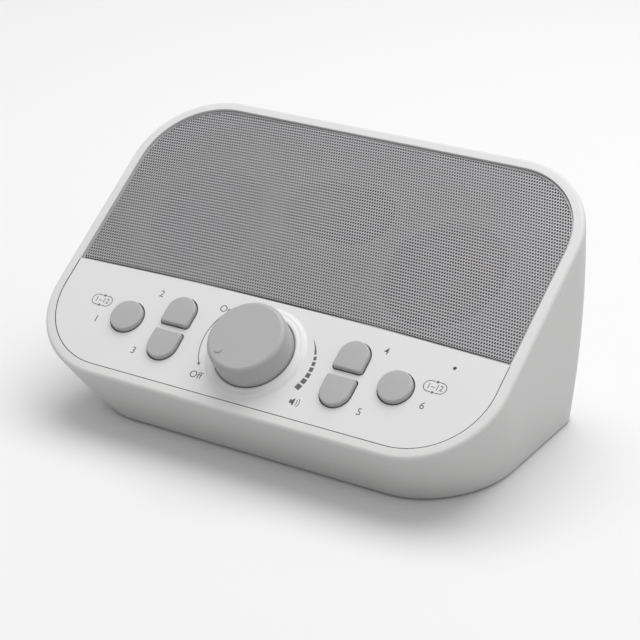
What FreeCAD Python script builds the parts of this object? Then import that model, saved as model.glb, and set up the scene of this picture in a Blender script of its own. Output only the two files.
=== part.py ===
import FreeCAD, Part
import math
import os
import Sketcher
from FreeCAD import Rotation, Vector

# White noise sound machine: a wedge housing with a tilted, rounded face.
# Origin: on the table under the middle of the housing. +Z up, the face looks towards -Y and up.
# The face frame has x to the right, y up the face and z out of the face, from the face's centre.

doc = FreeCAD.newDocument("sound_machine")
sheet = doc.addObject("Spreadsheet::Sheet", "Sizes")

SIZES = [
    # housing
    ("face_width", 167.2), ("face_height", 112.8), ("face_corner", 29.5), ("face_tilt", 34.8),
    ("face_middle_back", -2.1), ("face_middle_up", 55.0), ("rim_width", 3.5), ("rim_edge", 1.3),
    ("rim_depth", 2.0), ("base_width", 148.4), ("base_front", -32.4), ("base_back", 48.1),
    ("base_front_corner", 26.3), ("base_front_corner_long", 33.3), ("base_back_corner", 8.0),
    ("side_crown", 1.3), ("back_crown", 1.6), ("wall", 2.5), ("lift", 0.8),
    ("ledge_depth", 2.5), ("ledge_width", 3.0), ("ledge_thick", 4.5), ("seam", 0.25),
    # bottom cover, feet and their screws
    ("cover_thick", 2.5), ("cover_recess", 0.4), ("foot_radius", 6.0), ("foot_sunk", 1.0),
    ("foot_inset_side", 16.0), ("foot_inset_front", 14.0), ("foot_inset_back", 13.0),
    ("post_radius", 3.6), ("post_height", 16.0), ("post_inset_side", 6.0), ("post_inset_back", 6.4),
    ("rib_thick", 2.0),
    ("post_front_back", 28.0), ("screw_radius", 1.3), ("screw_head", 2.6), ("screw_head_thick", 1.4),
    ("screw_grip", 8.0), ("screw_fit", 0.05),
    # control panel
    ("panel_drop", 0.1), ("panel_top", 37.8), ("panel_arch", 1.6), ("layout_shift", -0.95),
    ("collar_radius", 16.6), ("collar_height", 1.3), ("collar_bore", 13.4), ("controls_low", -34.3),
    # grille and baffle
    ("grille_drop", 0.9), ("grille_thick", 0.8), ("baffle_thick", 2.5), ("baffle_tongue", 3.5),
    ("baffle_play", 0.3), ("baffle_hole_edge", 1.5),
    # keys
    ("round_key_reach", 49.9), ("round_key_low", -33.5), ("round_key_radius", 5.6),
    ("arch_key_reach", 32.2), ("arch_key_width", 10.2), ("arch_key_height", 10.4),
    ("arch_key_corner", 0.9), ("upper_key_low", -27.0), ("lower_key_low", -40.05), ("key_proud", 1.5),
    ("key_edge", 0.55), ("key_play", 0.25), ("key_flange", 0.9), ("key_flange_thick", 0.9),
    ("key_stop", 0.3), ("key_stem", 1.9), ("key_travel", 0.5),
    # key board, switches, status light
    ("board_drop", 9.0), ("board_thick", 1.6), ("board_width", 134.0), ("board_corner", 2.0), ("switch_rim", 0.6), ("board_height", 27.0),
    ("board_low", -33.0), ("stud_radius", 2.6), ("stud_reach", 57.5), ("stud_low", -43.0),
    ("stud_gap", 19.0), ("small_screw", 1.0), ("small_screw_head", 2.0), ("small_screw_grip", 6.0), ("switch_size", 6.0), ("switch_tall", 3.5), ("light_inset", 19.8),
    ("light_low", -22.1), ("light_radius", 0.5), ("light_play", 0.1), ("light_flange", 1.4), ("light_flange_thick", 0.8), ("light_tall", 0.8),
    # knob and its rotary control
    ("knob_radius", 13.0), ("knob_height", 10.0), ("knob_taper", 0.15), ("knob_bevel", 1.25),
    ("knob_bevel_down", 2.0), ("knob_shoulder_round", 3.0), ("knob_rim_round", 0.4), ("knob_play", 0.4), ("knob_wall", 1.6), ("knob_hub", 5.0),
    ("dot_reach", 9.3), ("dot_radius", 1.2), ("dot_turn", 228.0), ("dot_rise", 0.3), ("shaft_radius", 3.0),
    ("shaft_in_knob", 7.0), ("shaft_in_control", 4.0), ("shaft_fit", 0.05), ("control_size", 13.0),
    ("control_tall", 5.6), ("panel_shaft_play", 0.8),
    # speakers and passive radiator
    ("speaker_inset", 38.6), ("speaker_up", 10.6), ("speaker_radius", 24.0), ("speaker_cone", 19.5),
    ("speaker_depth", 15.0), ("speaker_neck", 9.0), ("magnet_radius", 16.0), ("magnet_thick", 9.0),
    ("flange_thick", 1.2), ("gasket_thick", 0.8), ("cap_radius", 7.0), ("sheet_thick", 0.6), ("surround_gap", 0.7), ("basket_wall", 1.0),
    ("cone_play", 0.1), ("surround_width", 2.8), ("surround_rise", 0.7), ("cone_deep", 7.0), ("cap_rise", 1.8),
    ("coil_radius", 6.0), ("radiator_up", 24.0), ("radiator_gap", 0.3), ("radiator_height", 24.0),
    ("radiator_flange", 1.8), ("radiator_thick", 1.6), ("radiator_play", 0.3),
    # power inlet and main board
    ("inlet_side", 45.0), ("inlet_up", 16.0), ("inlet_hole", 3.5), ("inlet_pad", 3.0),
    ("inlet_pad_size", 14.0), ("inlet_size", 11.0), ("inlet_long", 12.0), ("inlet_bore", 3.1),
    ("inlet_pin", 1.0), ("inlet_deep", 9.0), ("main_width", 78.0), ("main_long", 40.0),
    ("main_thick", 1.6), ("main_stand", 4.0), ("main_stud", 2.5), ("main_middle", 2.0), ("can_reach", 22.0), ("can_radius", 4.0),
    ("can_tall", 9.0), ("chip_size", 9.0), ("chip_tall", 1.2),
]
for row, (alias, number) in enumerate(SIZES, 1):
    sheet.set("A%d" % row, alias)
    sheet.set("B%d" % row, str(number))
    sheet.setAlias("B%d" % row, alias)
doc.recompute()


class Size:
    """A length that knows its value and the sheet expression it comes from."""

    def __init__(self, value, text):
        self.value = float(value)
        self.text = text

    @staticmethod
    def of(other):
        return other if isinstance(other, Size) else Size(other, repr(float(other)))

    def join(self, other, sign, value):
        return Size(value, "(%s %s %s)" % (self.text, sign, Size.of(other).text))

    def __add__(self, other):
        return self.join(other, "+", self.value + Size.of(other).value)

    def __sub__(self, other):
        return self.join(other, "-", self.value - Size.of(other).value)

    def __mul__(self, other):
        return self.join(other, "*", self.value * Size.of(other).value)

    def __truediv__(self, other):
        return self.join(other, "/", self.value / Size.of(other).value)

    def __neg__(self):
        return Size(0, "0") - self

    def __radd__(self, other):
        return Size.of(other) + self

    def __rsub__(self, other):
        return Size.of(other) - self

    def __rmul__(self, other):
        return Size.of(other) * self


class Named:
    """Reads sizes from the sheet as attributes."""

    def __getattr__(self, alias):
        return Size(sheet.get(alias), "Sizes." + alias)


s = Named()
made = []

# places that follow the face's width, and the radiator that fills the space between the speakers
speaker_reach = s.face_width / 2 - s.speaker_inset
radiator_width = 2 * (speaker_reach - s.speaker_radius - s.radiator_gap)
light_side = s.face_width / 2 - s.light_inset


def face_place():
    """The face frame: centred on the face, tilted back about X."""
    middle = Vector(0, s.face_middle_back.value, s.face_middle_up.value)
    return FreeCAD.Placement(middle, Rotation(Vector(1, 0, 0), s.face_tilt.value))


def on_face(x, y, z):
    return face_place().multVec(Vector(x, y, z))


def body(label, place=None):
    new = doc.addObject("PartDesign::Body", label)
    new.Label = label
    if place is not None:
        new.Placement = place
    made.append(new)
    return new


def number(x):
    return Size.of(x).value


def sketch(owner, name, x, y, z):
    """A sketch on the body's XY plane, moved to x, y, z by the sizes given."""
    plane = [f for f in owner.Origin.OriginFeatures if f.Role == "XY_Plane"][0]
    new = owner.newObject("Sketcher::SketchObject", name)
    new.AttachmentSupport = (plane, [""])
    new.MapMode = "FlatFace"
    new.AttachmentOffset = FreeCAD.Placement(Vector(number(x), number(y), number(z)), Rotation())
    for axis, size in zip("xyz", (x, y, z)):
        new.setExpression("AttachmentOffset.Base." + axis, Size.of(size).text)
    return new


def bind(drawing, constraint, size):
    index = drawing.addConstraint(constraint)
    drawing.setExpression("Constraints[%d]" % index, Size.of(size).text)


def circle(drawing, radius):
    index = drawing.addGeometry(Part.Circle(Vector(0, 0, 0), Vector(0, 0, 1), number(radius)), False)
    drawing.addConstraint(Sketcher.Constraint("Coincident", index, 3, -1, 1))
    bind(drawing, Sketcher.Constraint("Radius", index, number(radius)), radius)


def polygon(drawing, points):
    """A closed outline whose corners are tied to the sketch's origin by their sizes."""
    flat = [Vector(number(x), number(y), 0) for x, y in points]
    first = drawing.GeometryCount
    for start, end in zip(flat, flat[1:] + flat[:1]):
        drawing.addGeometry(Part.LineSegment(start, end), False)
    count = len(points)
    for k in range(count):
        drawing.addConstraint(Sketcher.Constraint("Coincident", first + k, 2, first + (k + 1) % count, 1))
    for k, (x, y) in enumerate(points):
        bind(drawing, Sketcher.Constraint("DistanceX", -1, 1, first + k, 1, number(x)), x)
        bind(drawing, Sketcher.Constraint("DistanceY", -1, 1, first + k, 1, number(y)), y)


def rectangle(drawing, width, height):
    x = width / 2
    y = height / 2
    polygon(drawing, [(-x, -y), (x, -y), (x, y), (-x, y)])


def feature(owner, kind, name, profile, length):
    """A Pad up from the sketch or a Pocket down from it."""
    new = owner.newObject("PartDesign::" + kind, name)
    new.Profile = profile
    new.Length = number(length)
    new.setExpression("Length", Size.of(length).text)
    profile.Visibility = False
    doc.recompute()
    return new


def upright_edges(shape, x, y, reach):
    """Names of edges along Z whose middle lies within reach of x, y."""
    names = []
    for k, edge in enumerate(shape.Edges, 1):
        low, high = edge.BoundBox.ZMin, edge.BoundBox.ZMax
        middle = edge.BoundBox.Center
        upright = edge.BoundBox.XLength < 1e-4 and edge.BoundBox.YLength < 1e-4 and high - low > 0.1
        if upright and math.hypot(middle.x - x, middle.y - y) < reach:
            names.append("Edge%d" % k)
    return names


def level_edges(shape, z, outside=0.0):
    """Names of edges that lie level at height z, whose middle is at least outside from the origin."""
    names = []
    for k, edge in enumerate(shape.Edges, 1):
        box = edge.BoundBox
        far = max(abs(box.XMin), abs(box.XMax), abs(box.YMin), abs(box.YMax))
        if abs(box.ZMin - z) < 1e-4 and abs(box.ZMax - z) < 1e-4 and far > outside:
            names.append("Edge%d" % k)
    return names


def fillet(owner, name, base, edges, radius):
    new = owner.newObject("PartDesign::Fillet", name)
    new.Base = (base, edges)
    new.Radius = number(radius)
    new.setExpression("Radius", Size.of(radius).text)
    doc.recompute()
    return new


def box_pad(owner, name, x, y, z, width, height, thick, corner=None):
    drawing = sketch(owner, name + "_outline", x, y, z)
    rectangle(drawing, width, height)
    pad = feature(owner, "Pad", name, drawing, thick)
    if corner is not None:
        edges = []
        for a in (-1, 1):
            for b in (-1, 1):
                edges += upright_edges(pad.Shape, number(x + width * a / 2), number(y + height * b / 2), 0.01)
        pad = fillet(owner, name + "_corners", pad, edges, corner)
    return pad


def round_pad(owner, name, x, y, z, radius, thick, kind="Pad"):
    drawing = sketch(owner, name + "_outline", x, y, z)
    circle(drawing, radius)
    return feature(owner, kind, name, drawing, thick)


def turned(owner, name, x, y, z, points):
    """A revolved piece: points are radius and height pairs about the axis at x, y, from height z."""
    plane = [f for f in owner.Origin.OriginFeatures if f.Role == "XZ_Plane"][0]
    drawing = owner.newObject("Sketcher::SketchObject", name + "_profile")
    drawing.AttachmentSupport = (plane, [""])
    drawing.MapMode = "FlatFace"
    # the XZ plane's own axes are X and Z, and its normal is -Y
    drawing.AttachmentOffset = FreeCAD.Placement(Vector(number(x), number(z), -number(y)), Rotation())
    drawing.setExpression("AttachmentOffset.Base.x", Size.of(x).text)
    drawing.setExpression("AttachmentOffset.Base.y", Size.of(z).text)
    drawing.setExpression("AttachmentOffset.Base.z", (-Size.of(y)).text)
    polygon(drawing, points)
    new = owner.newObject("PartDesign::Revolution", name)
    new.Profile = drawing
    new.ReferenceAxis = (drawing, ["V_Axis"])
    new.Angle = 360
    drawing.Visibility = False
    doc.recompute()
    return new


def solid(label, shape, place=None):
    new = doc.addObject("Part::Feature", label)
    new.Label = label
    new.Shape = shape
    if place is not None:
        new.Placement = place
    made.append(new)
    return new


def corner_curve(start, corner, end):
    """A quarter of an ellipse from start to end, tangent to both sides of the corner."""
    curve = Part.BSplineCurve()
    curve.buildFromPolesMultsKnots([start, corner, end], [3, 3], [0, 1], False, 2,
                                   [1, math.sqrt(0.5), 1])
    return curve.toShape()


def ring(put, half, front, back, front_corner, back_corner):
    """A closed outline of straight sides and elliptic corners; put maps x, y to space."""
    around = [
        ((-half + front_corner[0], front), (half - front_corner[0], front), (half, front)),
        ((half, front + front_corner[1]), (half, back - back_corner[1]), (half, back)),
        ((half - back_corner[0], back), (-half + back_corner[0], back), (-half, back)),
        ((-half, back - back_corner[1]), (-half, front + front_corner[1]), (-half, front)),
    ]
    edges = []
    for k, (start, end, corner) in enumerate(around):
        after = around[(k + 1) % 4][0]
        edges.append(Part.LineSegment(put(*start), put(*end)).toShape())
        edges.append(corner_curve(put(*end), put(*corner), put(*after)))
    return Part.Wire(edges)


def face_ring(inset, depth):
    corner = s.face_corner.value - inset
    half = s.face_width.value / 2 - inset
    tall = s.face_height.value / 2 - inset
    put = lambda x, y: on_face(x, y, -depth)
    return ring(put, half, -tall, tall, (corner, corner), (corner, corner))


def base_ring(inset, up):
    put = lambda x, y: Vector(x, y, up)
    front = (s.base_front_corner.value - inset, s.base_front_corner_long.value - inset)
    back = max(s.base_back_corner.value - inset, 1.0)
    return ring(put, s.base_width.value / 2 - inset, s.base_front.value + inset,
                s.base_back.value - inset, front, (back, back))


def middle_ring(inset, depth, up):
    """The section half way between the face and the base, crowned at the sides and the back."""
    tall = s.face_height.value / 2 - inset
    front = (on_face(0, -tall, -depth) + Vector(0, s.base_front.value + inset, up)) / 2
    back = (on_face(0, tall, -depth) + Vector(0, s.base_back.value - inset, up)) / 2
    back.y += s.back_crown.value
    along = back - front
    reach = along.Length
    along.normalize()
    put = lambda x, y: front + Vector(x, 0, 0) + along * y
    half = (s.face_width.value + s.base_width.value) / 4 - inset + s.side_crown.value
    corner = s.face_corner.value - inset
    low = ((corner + s.base_front_corner.value - inset) / 2,
           (corner + s.base_front_corner_long.value - inset) / 2)
    high = (corner + max(s.base_back_corner.value - inset, 1.0)) / 2
    return ring(put, half, 0, reach, low, (high, high))


def wedge(inset, depth, up):
    rings = [face_ring(inset, depth), middle_ring(inset, depth, up), base_ring(inset, up)]
    return Part.makeLoft(rings, True, False)


def prism(outline, length):
    """A straight block from an outline, along the face's normal when length is not zero."""
    normal = on_face(0, 0, 1) - on_face(0, 0, 0)
    return Part.Face(outline).extrude(normal * length)


def housing():
    depth = s.rim_depth.value
    rim = prism(face_ring(0, depth), depth)
    edges = [e for e in rim.Edges if abs(e.CenterOfMass.sub(on_face(0, 0, 0)).dot(
        on_face(0, 0, 1) - on_face(0, 0, 0))) < 1e-6]
    rim = rim.makeFillet(s.rim_edge.value, edges)
    outer = wedge(0, depth, s.lift.value).fuse(rim)
    pocket = prism(face_ring(s.rim_width.value, s.ledge_depth.value), s.ledge_depth.value + 1)
    ledge = s.rim_width.value + s.ledge_width.value
    under = s.ledge_depth.value + s.ledge_thick.value
    opening = prism(face_ring(ledge, under), under)
    inset = s.wall.value
    cavity = wedge(inset + 0.8, under, s.lift.value)
    below = Part.Face(base_ring(inset + 0.8, s.lift.value)).extrude(Vector(0, 0, -1))
    shell = outer.cut([pocket, opening, cavity, below])
    posts = []
    for x, y in post_places():
        post = Part.makeCylinder(s.post_radius.value, s.post_height.value, Vector(x, y, cover_top()))
        way = math.copysign(s.wall.value + s.post_inset_side.value, x)
        rib = Part.makeBox(abs(way), s.rib_thick.value, s.post_height.value,
                           Vector(min(x, x + way), y - s.rib_thick.value / 2, cover_top()))
        posts.append(post.fuse(rib).common(outer))
    pad_size = s.inlet_pad_size.value
    pad_front = s.base_back.value - s.wall.value - s.inlet_pad.value
    pad = Part.makeBox(pad_size, s.inlet_pad.value + s.wall.value, pad_size,
                       Vector(s.inlet_side.value - pad_size / 2, pad_front,
                              s.inlet_up.value - pad_size / 2)).common(outer)
    shell = shell.fuse(posts + [pad])
    drills = [Part.makeCylinder(s.screw_radius.value + s.screw_fit.value, s.post_height.value - 2,
                                Vector(x, y, cover_top() - 1)) for x, y in post_places()]
    drills.append(Part.makeCylinder(s.inlet_hole.value, 2 * pad_size, Vector(
        s.inlet_side.value, pad_front - pad_size / 2, s.inlet_up.value), Vector(0, 1, 0)))
    return shell.cut(drills).removeSplitter()


def cover_bottom():
    return s.lift.value + s.cover_recess.value


def cover_top():
    return cover_bottom() + s.cover_thick.value


def post_places():
    side = s.base_width.value / 2 - s.wall.value - s.post_inset_side.value
    front = s.base_front.value + s.post_front_back.value
    back = s.base_back.value - s.wall.value - s.post_inset_back.value
    return [(-side, front), (side, front), (-side, back), (side, back)]


def foot_places():
    side = s.base_width.value / 2 - s.wall.value - s.foot_inset_side.value
    front = s.base_front.value + s.wall.value + s.foot_inset_front.value
    back = s.base_back.value - s.wall.value - s.foot_inset_back.value
    return [(-side, front), (side, front), (-side, back), (side, back)]


def face_level(inset, z):
    """The face's outline drawn flat in the face frame, at height z."""
    corner = s.face_corner.value - inset
    half = s.face_width.value / 2 - inset
    tall = s.face_height.value / 2 - inset
    return ring(lambda x, y: Vector(x, y, z), half, -tall, tall, (corner, corner), (corner, corner))


def under_arch(drop, z, thick):
    """The block of the face below the panel's arched top edge, moved down by drop."""
    half = s.face_width.value / 2
    inner = half - s.rim_width.value
    top = s.rim_width.value - s.face_height.value / 2 + s.panel_top.value - drop
    side = top - s.panel_arch.value * (half / inner) ** 2
    low = -s.face_height.value
    arc = Part.Arc(Vector(half, side, z), Vector(0, top, z), Vector(-half, side, z)).toShape()
    sides = [(-half, side), (-half, low), (half, low), (half, side)]
    lines = [Part.LineSegment(Vector(a[0], a[1], z), Vector(b[0], b[1], z)).toShape()
             for a, b in zip(sides, sides[1:])]
    return Part.Face(Part.Wire([arc] + lines)).extrude(Vector(0, 0, thick))


def slab(outline, thick):
    return Part.Face(outline).extrude(Vector(0, 0, thick))


def arch_outline(x, y, grow, way, z):
    """A key outline with one half-round end; way is 1 with the round end up and -1 with it down."""
    half = s.arch_key_width.value / 2 + grow
    tall = s.arch_key_height.value / 2 + grow
    bend = s.arch_key_corner.value + grow
    def at(px, py):
        return Vector(x + way * px, y + way * py, z)
    spring = tall - half
    rise = Part.Arc(at(half, spring), at(0, tall), at(-half, spring)).toShape()
    near = bend * (1 - math.sqrt(0.5))
    left = Part.Arc(at(-half, -tall + bend), at(-half + near, -tall + near),
                    at(-half + bend, -tall)).toShape()
    right = Part.Arc(at(half - bend, -tall), at(half - near, -tall + near),
                     at(half, -tall + bend)).toShape()
    down = Part.LineSegment(at(-half, spring), at(-half, -tall + bend)).toShape()
    foot = Part.LineSegment(at(-half + bend, -tall), at(half - bend, -tall)).toShape()
    up = Part.LineSegment(at(half, -tall + bend), at(half, spring)).toShape()
    return Part.Wire([rise, down, left, foot, right, up])


def round_outline(x, y, grow, way, z):
    radius = s.round_key_radius.value + grow
    return Part.Wire([Part.Circle(Vector(x, y, z), Vector(0, 0, 1), radius).toShape()])


def key_table():
    """Name, outline, middle and direction of every key on the panel."""
    mid = s.layout_shift.value
    keys = []
    for side, sign in (("left", -1), ("right", 1)):
        far = mid + sign * s.round_key_reach.value
        near = mid + sign * s.arch_key_reach.value
        keys.append((side + "_round_key", round_outline, far, s.round_key_low.value, 1))
        keys.append((side + "_upper_key", arch_outline, near, s.upper_key_low.value, 1))
        keys.append((side + "_lower_key", arch_outline, near, s.lower_key_low.value, -1))
    return keys


def stud_places():
    mid = s.layout_shift.value
    low = s.stud_low.value
    high = low + s.stud_gap.value
    reach = s.stud_reach.value
    return [(mid - reach, low), (mid + reach, low), (mid - reach, high), (mid + reach, high)]


def post_up(x, y, radius, low, high):
    return Part.makeCylinder(radius, high - low, Vector(x, y, low))


def panel():
    top = -s.panel_drop.value
    low = -s.ledge_depth.value
    mid = s.layout_shift.value
    centre = (mid, s.controls_low.value)
    inset = s.rim_width.value + s.seam.value
    plate = slab(face_level(inset, low), top - low).common(under_arch(0, low, top - low))
    high = top + s.collar_height.value
    outer = s.collar_radius.value
    inner = s.collar_bore.value
    # the collar is a low ring with a long soft outer slope and a rounded inner lip
    rise = [Vector(inner, 0, top - 0.5), Vector(inner, 0, high - 0.3), Vector(inner + 0.3, 0, high),
            Vector(inner + 0.9, 0, high), Vector(outer, 0, top), Vector(outer, 0, top - 0.5)]
    lines = [Part.LineSegment(a, b).toShape() for a, b in zip(rise, rise[1:] + rise[:1])]
    collar = Part.Face(Part.Wire(lines)).revolve(Vector(0, 0, 0), Vector(0, 0, 1), 360)
    collar.translate(Vector(centre[0], centre[1], 0))
    plate = plate.fuse(collar)
    cuts = []
    for name, outline, x, y, way in key_table():
        cuts.append(slab(outline(x, y, s.key_play.value, way, low - 1), 4 - low))
    cuts.append(post_up(*centre, s.shaft_radius.value + s.panel_shaft_play.value, low - 1, 2))
    light = (light_side.value, s.light_low.value)
    cuts.append(post_up(*light, s.light_radius.value + s.light_play.value, low - 1, 1))
    studs = [post_up(x, y, s.stud_radius.value, -s.board_drop.value, low) for x, y in stud_places()]
    drills = [post_up(x, y, s.small_screw.value + s.screw_fit.value, -s.board_drop.value - 1,
                      -s.board_drop.value + s.small_screw_grip.value) for x, y in stud_places()]
    return plate.cut(cuts).fuse(studs).cut(drills).removeSplitter()


def key(outline, x, y, way):
    stop = -s.ledge_depth.value - s.key_stop.value
    flange_low = stop - s.key_flange_thick.value
    top = s.key_proud.value
    cap = slab(outline(x, y, 0, way, stop), top - stop)
    rim = [e for e in cap.Edges if e.BoundBox.ZMin > top - 1e-6]
    cap = cap.makeFillet(s.key_edge.value, rim)
    flange = slab(outline(x, y, s.key_flange.value, way, flange_low), stop - flange_low)
    stem_low = s.switch_tall.value - s.board_drop.value + s.key_travel.value + s.key_stop.value
    stem = post_up(x, y, s.key_stem.value, stem_low, flange_low)
    return cap.fuse([flange, stem]).removeSplitter()


def baffle():
    seat = -s.ledge_depth.value
    top = -s.grille_drop.value - s.grille_thick.value
    low = seat - s.baffle_thick.value
    inset = s.rim_width.value + s.seam.value
    skirt = slab(face_level(inset, seat), top - seat).cut(under_arch(-s.seam.value, seat, top - seat))
    inner = s.rim_width.value + s.ledge_width.value + s.baffle_play.value
    plate = slab(face_level(inner, low), seat - low)
    plate = plate.cut(under_arch(s.baffle_tongue.value, low, seat - low))
    whole = skirt.fuse(plate)
    mid = s.layout_shift.value
    cuts = [post_up(mid + side * speaker_reach.value, s.speaker_up.value,
                    s.speaker_cone.value + s.baffle_hole_edge.value, low - 1, 1) for side in (-1, 1)]
    cuts.append(racetrack(mid, s.radiator_up.value, radiator_width.value, s.radiator_height.value,
                          low - 1, 2 - low))
    return whole.cut(cuts).removeSplitter()


def racetrack(x, y, width, height, z, thick):
    """A block with two half-round ends."""
    reach = (width - height) / 2
    half = height / 2
    def at(px, py):
        return Vector(x + px, y + py, z)
    edges = [Part.LineSegment(at(-reach, -half), at(reach, -half)).toShape(),
             Part.Arc(at(reach, -half), at(width / 2, 0), at(reach, half)).toShape(),
             Part.LineSegment(at(reach, half), at(-reach, half)).toShape(),
             Part.Arc(at(-reach, half), at(-width / 2, 0), at(-reach, -half)).toShape()]
    return slab(Part.Wire(edges), thick)


def grille():
    top = -s.grille_drop.value
    thick = s.grille_thick.value
    inset = s.rim_width.value + s.seam.value
    return slab(face_level(inset, top - thick), thick).cut(under_arch(-s.seam.value, top - thick, thick))


def cover():
    low = cover_bottom()
    outline = base_ring(s.wall.value + 0.8 + s.seam.value, low)
    plate = Part.Face(outline).extrude(Vector(0, 0, s.cover_thick.value))
    cuts = []
    for x, y in foot_places():
        cuts.append(post_up(x, y, s.foot_radius.value, low - 1, low + s.foot_sunk.value))
    for x, y in post_places():
        cuts.append(post_up(x, y, s.screw_radius.value + s.screw_fit.value, low - 1, cover_top() + 1))
        cuts.append(post_up(x, y, s.screw_head.value + s.seam.value, low - 1,
                            low + s.screw_head_thick.value - s.cover_recess.value))
    stands = [post_up(x, y, s.main_stud.value, cover_top(), main_low()) for x, y in main_studs()]
    drills = [post_up(x, y, s.small_screw.value + s.screw_fit.value, cover_top(), main_low() + 1)
              for x, y in main_studs()]
    return plate.cut(cuts).fuse(stands).cut(drills).removeSplitter()


def main_low():
    return cover_top() + s.main_stand.value


def main_studs():
    x = s.main_width.value / 2 - s.main_stud.value - 0.5
    y = s.main_long.value / 2 - s.main_stud.value - 0.5
    mid = s.main_middle.value
    return [(-x, mid - y), (x, mid - y), (-x, mid + y), (x, mid + y)]


def group(shapes):
    return Part.makeCompound(shapes)


def cover_screw(x, y):
    low = cover_bottom()
    seat = low + s.screw_head_thick.value - s.cover_recess.value
    head = post_up(x, y, s.screw_head.value, seat - s.screw_head_thick.value, seat)
    shank = post_up(x, y, s.screw_radius.value, seat, cover_top() + s.screw_grip.value)
    return head.fuse(shank).removeSplitter()


def board_screw(x, y):
    low = -s.board_drop.value - s.board_thick.value
    head = post_up(x, y, s.small_screw_head.value, low - 1.2, low)
    shank = post_up(x, y, s.small_screw.value, low, -s.board_drop.value + s.small_screw_grip.value - 1)
    return head.fuse(shank).removeSplitter()


def main_screw(x, y):
    high = main_low() + s.main_thick.value
    head = post_up(x, y, s.small_screw_head.value, high, high + 1.2)
    shank = post_up(x, y, s.small_screw.value, cover_top() + 0.5, high)
    return head.fuse(shank).removeSplitter()


solid("housing", housing())
solid("bottom_cover", cover())
solid("control_panel", panel(), face_place())
solid("baffle", baffle(), face_place())
solid("grille", grille(), face_place())
for name, outline, x, y, way in key_table():
    solid(name, key(outline, x, y, way), face_place())
solid("cover_screws", group([cover_screw(x, y) for x, y in post_places()]))
solid("board_screws", group([board_screw(x, y) for x, y in stud_places()]), face_place())
solid("main_board_screws", group([main_screw(x, y) for x, y in main_studs()]))

# rubber feet, four alike in their recesses
feet = []
for x, y in foot_places():
    foot = post_up(x, y, s.foot_radius.value - s.screw_fit.value, 0, cover_bottom() + s.foot_sunk.value)
    feet.append(foot.makeFillet(0.3, [e for e in foot.Edges if e.BoundBox.ZMax < 1e-6]))
solid("rubber_feet", group(feet))

# the knob turns on the face's normal at the middle of the collar
knob_x = s.layout_shift
knob_y = s.controls_low
knob_low = s.knob_play - s.panel_drop
hub_bore = s.shaft_radius + s.shaft_fit
shoulder = s.knob_radius - s.knob_taper
hollow = s.knob_height - s.knob_bevel_down - s.knob_wall
knob = body("knob", face_place())
turned(knob, "knob_body", knob_x, knob_y, Size(0, "0"), [
    (hub_bore, knob_low), (s.knob_hub, knob_low), (s.knob_hub, hollow),
    (s.knob_radius - s.knob_wall, hollow), (s.knob_radius - s.knob_wall, knob_low),
    (s.knob_radius, knob_low), (shoulder, s.knob_height - s.knob_bevel_down),
    (shoulder - s.knob_bevel, s.knob_height), (Size(0, "0"), s.knob_height),
    (Size(0, "0"), s.shaft_in_knob + s.shaft_fit), (hub_bore, s.shaft_in_knob + s.shaft_fit)])
body_turn = knob.Tip
edges = level_edges(body_turn.Shape, s.knob_height.value - s.knob_bevel_down.value,
                    s.knob_radius.value - s.knob_taper.value - 0.01)
edges = [e for e in edges if body_turn.Shape.getElement(e).BoundBox.XLength > 2 * s.knob_hub.value]
shoulder_round = fillet(knob, "knob_shoulder", body_turn, edges, s.knob_shoulder_round)
edges = level_edges(shoulder_round.Shape, s.knob_height.value)
fillet(knob, "knob_rim", shoulder_round, edges, s.knob_rim_round)
turn = s.dot_turn.value
dot_x = knob_x + Size(s.dot_reach.value * math.cos(math.radians(turn)),
                      "Sizes.dot_reach * cos(Sizes.dot_turn * 1 deg)")
dot_y = knob_y + Size(s.dot_reach.value * math.sin(math.radians(turn)),
                      "Sizes.dot_reach * sin(Sizes.dot_turn * 1 deg)")
round_pad(knob, "knob_dot", dot_x, dot_y, s.knob_height, s.dot_radius, s.dot_rise)

# the shaft, held in the knob's hub, turns inside the rotary control
control_top = s.control_tall - s.board_drop
shaft = body("knob_shaft", face_place())
shaft_low = control_top - s.shaft_in_control + s.shaft_fit
round_pad(shaft, "shaft_rod", knob_x, knob_y, shaft_low, s.shaft_radius, s.shaft_in_knob - shaft_low)
control = body("rotary_control", face_place())
box_pad(control, "control_can", knob_x, knob_y, -s.board_drop, s.control_size, s.control_size,
        s.control_tall)
round_pad(control, "control_bore", knob_x, knob_y, control_top, hub_bore, s.shaft_in_control, "Pocket")

# the key board hangs under the panel's studs and carries a switch under every key
board = body("key_board", face_place())
box_pad(board, "board_plate", s.layout_shift, s.board_low, -s.board_drop - s.board_thick,
        s.board_width, s.board_height, s.board_thick, s.board_corner)
for place, (side, up) in enumerate(((-1, 0), (1, 0), (-1, 1), (1, 1))):
    round_pad(board, "board_hole_%d" % place, s.layout_shift + s.stud_reach * side,
              s.stud_low + s.stud_gap * up, -s.board_drop, s.small_screw + s.screw_fit,
              s.board_thick, "Pocket")
switches = []
for name, outline, x, y, way in key_table():
    half = s.switch_size.value / 2
    can = Part.makeBox(2 * half, 2 * half, s.switch_tall.value - s.switch_rim.value,
                       Vector(x - half, y - half, -s.board_drop.value))
    top = s.switch_tall.value - s.board_drop.value
    switches.append(can.fuse(post_up(x, y, s.key_stem.value, top - s.switch_rim.value, top)))
solid("key_switches", group(switches), face_place())

# the status light sits on the board's edge, and its pipe carries the light to the panel
pipe = body("light_pipe", face_place())
pipe_low = s.light_tall - s.board_drop
round_pad(pipe, "pipe_rod", light_side, s.light_low, pipe_low, s.light_radius,
          -pipe_low - s.panel_drop - s.light_play)
round_pad(pipe, "pipe_flange", light_side, s.light_low, -s.ledge_depth - s.light_flange_thick,
          s.light_flange, s.light_flange_thick)
light = body("status_light", face_place())
box_pad(light, "light_chip", light_side, s.light_low, -s.board_drop, s.light_tall * 2,
        s.light_tall * 2, s.light_tall)

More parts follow.
